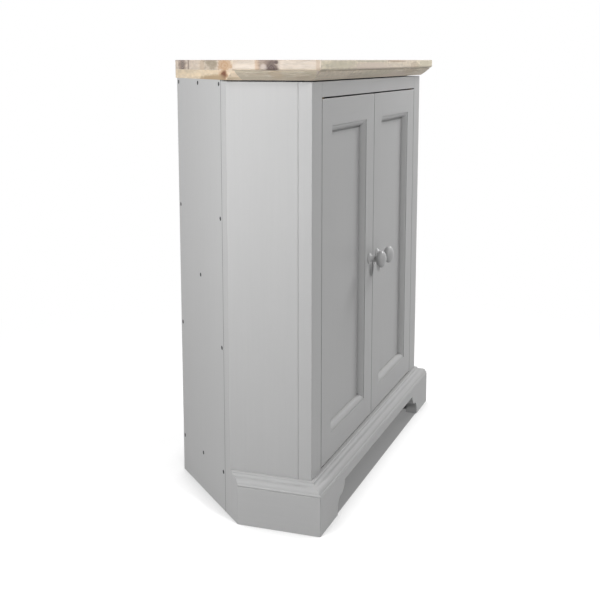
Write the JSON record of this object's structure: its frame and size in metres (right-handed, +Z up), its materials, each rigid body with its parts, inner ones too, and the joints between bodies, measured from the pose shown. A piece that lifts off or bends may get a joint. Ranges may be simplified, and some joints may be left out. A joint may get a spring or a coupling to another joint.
{
  "type": "corner sideboard",
  "caption": "Painted six-sided corner sideboard with two inset panelled doors, turned knobs, a moulded bracket plinth and a pale solid wood top.",
  "frame": {"origin": "on the floor, at the middle of the overall width and depth", "axes": "+X along the front to the viewer's right, -Y out of the doors, +Z up"},
  "size_m": [0.828, 0.393, 0.85],
  "materials": {
    "grey_paint": "satin grey furniture paint on solid wood and board",
    "painted_inside": "satin grey furniture paint on board",
    "limed_wood": "pale limed hardwood with knots, matt lacquer",
    "beech": "raw beech",
    "black_steel": "black phosphated steel",
    "zinc_steel": "bright zinc plated steel",
    "nickel_steel": "nickel plated steel",
    "brass": "satin brass",
    "white_plastic": "moulded white plastic"
  },
  "bodies": {
    "cabinet": {"back_panel_left": "grey_paint", "back_panel_rear": "grey_paint", "back_panel_right": "grey_paint", "back_screws": "black_steel", "bottom_board": "painted_inside", "catches": "white_plastic", "dowels": "beech", "fixing_screws": "zinc_steel", "frame_hinges": "brass", "frame_sill_rail": "grey_paint", "frame_stile_left": "grey_paint", "frame_stile_right": "grey_paint", "frame_top_rail": "grey_paint", "hardware_screws": "zinc_steel", "plinth_front": "grey_paint", "plinth_left": "grey_paint", "plinth_right": "grey_paint", "rear_post_left": "painted_inside", "rear_post_right": "painted_inside", "shelf": "painted_inside", "side_panel_left": "grey_paint", "side_panel_right": "grey_paint", "side_post_left": "painted_inside", "side_post_right": "painted_inside", "sub_top": "painted_inside", "top_board": "limed_wood", "top_strip_back_left": "limed_wood", "top_strip_back_right": "limed_wood", "top_strip_front": "limed_wood", "top_strip_left": "limed_wood", "top_strip_rear": "limed_wood", "top_strip_right": "limed_wood"},
    "left_door": {"left_door_bead_bottom": "grey_paint", "left_door_bead_hinge": "grey_paint", "left_door_bead_meeting": "grey_paint", "left_door_bead_top": "grey_paint", "left_door_bottom_rail": "grey_paint", "left_door_hinge_stile": "grey_paint", "left_door_hinges": "brass", "left_door_knob": "grey_paint", "left_door_knob_screw": "zinc_steel", "left_door_meeting_stile": "grey_paint", "left_door_panel": "grey_paint", "left_door_screws": "zinc_steel", "left_door_strike_plate": "nickel_steel", "left_door_top_rail": "grey_paint"},
    "right_door": {"right_door_bead_bottom": "grey_paint", "right_door_bead_hinge": "grey_paint", "right_door_bead_meeting": "grey_paint", "right_door_bead_top": "grey_paint", "right_door_bottom_rail": "grey_paint", "right_door_hinge_stile": "grey_paint", "right_door_hinges": "brass", "right_door_knob": "grey_paint", "right_door_knob_screw": "zinc_steel", "right_door_meeting_stile": "grey_paint", "right_door_panel": "grey_paint", "right_door_screws": "zinc_steel", "right_door_strike_plate": "nickel_steel", "right_door_top_rail": "grey_paint"}
  },
  "joints": [
    {"name": "left_door_hinge", "type": "hinge", "parent": "cabinet", "child": "left_door", "pos_m": [-0.319, -0.1575, 0.44025], "axis": [0, 0, -1], "range_deg": [0, 110]},
    {"name": "right_door_hinge", "type": "hinge", "parent": "cabinet", "child": "right_door", "pos_m": [0.319, -0.1575, 0.44025], "axis": [0, 0, 1], "range_deg": [0, 110]}
  ]
}
